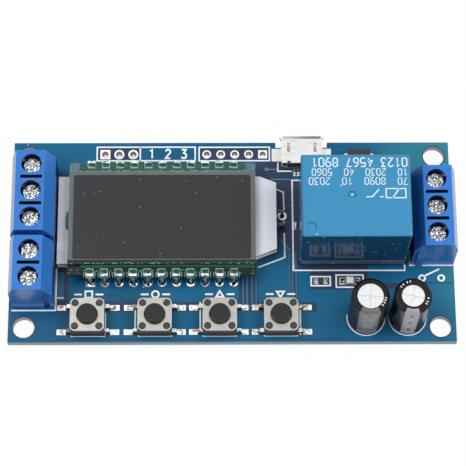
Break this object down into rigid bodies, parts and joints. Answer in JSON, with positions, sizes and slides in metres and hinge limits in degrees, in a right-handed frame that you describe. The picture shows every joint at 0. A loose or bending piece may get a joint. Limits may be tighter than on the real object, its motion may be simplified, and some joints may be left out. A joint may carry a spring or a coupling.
{
  "type": "timer relay module",
  "caption": "Blue circuit board with segment display, push buttons, sealed relay, screw terminals, power socket and capacitors, for switching a load on a set delay.",
  "frame": {"origin": "centre of the four corner mounting holes, on the board's underside", "axes": "+X along the board from the five-way terminal side to the three-way terminal side, +Y towards the edge with the power socket, +Z out of the component side"},
  "size_m": [0.079, 0.0381, 0.0192],
  "materials": {
    "solder_mask": "satin blue solder mask over glass-fibre board",
    "terminal_blue": "moulded blue nylon, low gloss",
    "screw_plating": "zinc-plated steel",
    "cage_steel": "plated pressed steel",
    "contact_brass": "pressed brass with tinned tails",
    "lcd_glass": "clear float glass",
    "polarizer": "dark polarizer film with faint unlit segments",
    "tinned_metal": "tin-plated strip and wire",
    "tray_white": "opaque white moulding",
    "guide_clear": "milky clear acrylic",
    "diffuser_film": "frosted film",
    "button_black": "dark moulded nylon",
    "button_steel": "bright stamped steel",
    "relay_blue": "moulded blue case",
    "bobbin_ivory": "ivory moulding",
    "winding_copper": "enamelled copper wire",
    "soft_iron": "nickel-plated soft iron",
    "can_aluminium": "drawn aluminium with a stamped vent",
    "sleeve_black": "shrunk black sleeve with a pale stripe",
    "shell_steel": "plated folded steel",
    "socket_black": "black moulding",
    "contact_gold": "gold-flashed contacts",
    "epoxy_black": "moulded black epoxy with tinned leads",
    "light_clear": "clear epoxy over a pale chip",
    "solder": "bright solder"
  },
  "bodies": {
    "module": {"board": "solder_mask", "terminal_housing_1": "terminal_blue", "terminal_housing_2": "terminal_blue", "terminal_housing_3": "terminal_blue", "terminal_contacts": "contact_brass", "lcd_rear_glass": "lcd_glass", "lcd_front_glass": "lcd_glass", "lcd_polarizer": "polarizer", "lcd_pins": "tinned_metal", "backlight_tray": "tray_white", "backlight_guide": "guide_clear", "backlight_diffuser": "diffuser_film", "backlight_leads": "tinned_metal", "button_bases": "button_black", "button_covers": "button_steel", "button_leads": "tinned_metal", "button_dome_1": "button_steel", "button_dome_2": "button_steel", "button_dome_3": "button_steel", "button_dome_4": "button_steel", "relay_cover": "relay_blue", "relay_base": "relay_blue", "relay_bobbin": "bobbin_ivory", "relay_winding": "winding_copper", "relay_yoke": "soft_iron", "relay_pins": "tinned_metal", "capacitor_cans": "can_aluminium", "capacitor_sleeves": "sleeve_black", "usb_shell": "shell_steel", "usb_insulator": "socket_black", "usb_contacts": "contact_gold", "flyback_diode": "epoxy_black", "chip_resistor": "epoxy_black", "status_light": "light_clear", "controller_chip": "epoxy_black", "regulator_chip": "epoxy_black", "driver_chip": "epoxy_black", "solder_joints": "solder"},
    "screw_1": {"terminal_screw_1": "screw_plating"},
    "cage_1": {"terminal_cage_1": "cage_steel"},
    "screw_2": {"terminal_screw_2": "screw_plating"},
    "cage_2": {"terminal_cage_2": "cage_steel"},
    "screw_3": {"terminal_screw_3": "screw_plating"},
    "cage_3": {"terminal_cage_3": "cage_steel"},
    "screw_4": {"terminal_screw_4": "screw_plating"},
    "cage_4": {"terminal_cage_4": "cage_steel"},
    "screw_5": {"terminal_screw_5": "screw_plating"},
    "cage_5": {"terminal_cage_5": "cage_steel"},
    "screw_6": {"terminal_screw_6": "screw_plating"},
    "cage_6": {"terminal_cage_6": "cage_steel"},
    "screw_7": {"terminal_screw_7": "screw_plating"},
    "cage_7": {"terminal_cage_7": "cage_steel"},
    "screw_8": {"terminal_screw_8": "screw_plating"},
    "cage_8": {"terminal_cage_8": "cage_steel"},
    "plunger_1": {"button_plunger_1": "button_black"},
    "plunger_2": {"button_plunger_2": "button_black"},
    "plunger_3": {"button_plunger_3": "button_black"},
    "plunger_4": {"button_plunger_4": "button_black"},
    "armature": {"relay_armature": "soft_iron"}
  },
  "joints": [
    {"name": "screw_turn_1", "type": "hinge", "parent": "module", "child": "screw_1", "pos_m": [-0.0353, 0.0009, 0.0098], "axis": [0, 0, -1], "range_deg": [0, 1081]},
    {"name": "cage_rise_1", "type": "slide", "parent": "module", "child": "cage_1", "axis": [0, 0, 1], "range_m": [0, 0.0015]},
    {"name": "screw_turn_2", "type": "hinge", "parent": "module", "child": "screw_2", "pos_m": [-0.0353, 0.0059, 0.0098], "axis": [0, 0, -1], "range_deg": [0, 1081]},
    {"name": "cage_rise_2", "type": "slide", "parent": "module", "child": "cage_2", "axis": [0, 0, 1], "range_m": [0, 0.0015]},
    {"name": "screw_turn_3", "type": "hinge", "parent": "module", "child": "screw_3", "pos_m": [-0.0353, 0.0109, 0.0098], "axis": [0, 0, -1], "range_deg": [0, 1081]},
    {"name": "cage_rise_3", "type": "slide", "parent": "module", "child": "cage_3", "axis": [0, 0, 1], "range_m": [0, 0.0015]},
    {"name": "screw_turn_4", "type": "hinge", "parent": "module", "child": "screw_4", "pos_m": [-0.0353, -0.0101, 0.0098], "axis": [0, 0, -1], "range_deg": [0, 1081]},
    {"name": "cage_rise_4", "type": "slide", "parent": "module", "child": "cage_4", "axis": [0, 0, 1], "range_m": [0, 0.0015]},
    {"name": "screw_turn_5", "type": "hinge", "parent": "module", "child": "screw_5", "pos_m": [-0.0353, -0.0051, 0.0098], "axis": [0, 0, -1], "range_deg": [0, 1081]},
    {"name": "cage_rise_5", "type": "slide", "parent": "module", "child": "cage_5", "axis": [0, 0, 1], "range_m": [0, 0.0015]},
    {"name": "screw_turn_6", "type": "hinge", "parent": "module", "child": "screw_6", "pos_m": [0.0359, 0.0079, 0.0098], "axis": [0, 0, -1], "range_deg": [0, 1081]},
    {"name": "cage_rise_6", "type": "slide", "parent": "module", "child": "cage_6", "axis": [0, 0, 1], "range_m": [0, 0.0015]},
    {"name": "screw_turn_7", "type": "hinge", "parent": "module", "child": "screw_7", "pos_m": [0.0359, 0.0029, 0.0098], "axis": [0, 0, -1], "range_deg": [0, 1081]},
    {"name": "cage_rise_7", "type": "slide", "parent": "module", "child": "cage_7", "axis": [0, 0, 1], "range_m": [0, 0.0015]},
    {"name": "screw_turn_8", "type": "hinge", "parent": "module", "child": "screw_8", "pos_m": [0.0359, -0.0021, 0.0098], "axis": [0, 0, -1], "range_deg": [0, 1081]},
    {"name": "cage_rise_8", "type": "slide", "parent": "module", "child": "cage_8", "axis": [0, 0, 1], "range_m": [0, 0.0015]},
    {"name": "button_press_1", "type": "slide", "parent": "module", "child": "plunger_1", "axis": [0, 0, -1], "range_m": [0, 0.00025], "stiffness_N_per_m": 1000, "springref_m": -0.001, "deforming": ["button_dome_1"]},
    {"name": "button_press_2", "type": "slide", "parent": "module", "child": "plunger_2", "axis": [0, 0, -1], "range_m": [0, 0.00025], "stiffness_N_per_m": 1000, "springref_m": -0.001, "deforming": ["button_dome_2"]},
    {"name": "button_press_3", "type": "slide", "parent": "module", "child": "plunger_3", "axis": [0, 0, -1], "range_m": [0, 0.00025], "stiffness_N_per_m": 1000, "springref_m": -0.001, "deforming": ["button_dome_3"]},
    {"name": "button_press_4", "type": "slide", "parent": "module", "child": "plunger_4", "axis": [0, 0, -1], "range_m": [0, 0.00025], "stiffness_N_per_m": 1000, "springref_m": -0.001, "deforming": ["button_dome_4"]},
    {"name": "armature_pull", "type": "hinge", "parent": "module", "child": "armature", "pos_m": [0.0141, 0.0027, 0.01169], "axis": [0, 1, 0], "range_deg": [0, 3.2], "stiffness_Nm_per_rad": 0.05, "springref_deg": -5.73}
  ],
  "couplings": [
    {"joint": "screw_turn_1", "follows": "cage_rise_1", "rad_per_m": 12566},
    {"joint": "screw_turn_2", "follows": "cage_rise_2", "rad_per_m": 12566},
    {"joint": "screw_turn_3", "follows": "cage_rise_3", "rad_per_m": 12566},
    {"joint": "screw_turn_4", "follows": "cage_rise_4", "rad_per_m": 12566},
    {"joint": "screw_turn_5", "follows": "cage_rise_5", "rad_per_m": 12566},
    {"joint": "screw_turn_6", "follows": "cage_rise_6", "rad_per_m": 12566},
    {"joint": "screw_turn_7", "follows": "cage_rise_7", "rad_per_m": 12566},
    {"joint": "screw_turn_8", "follows": "cage_rise_8", "rad_per_m": 12566}
  ]
}
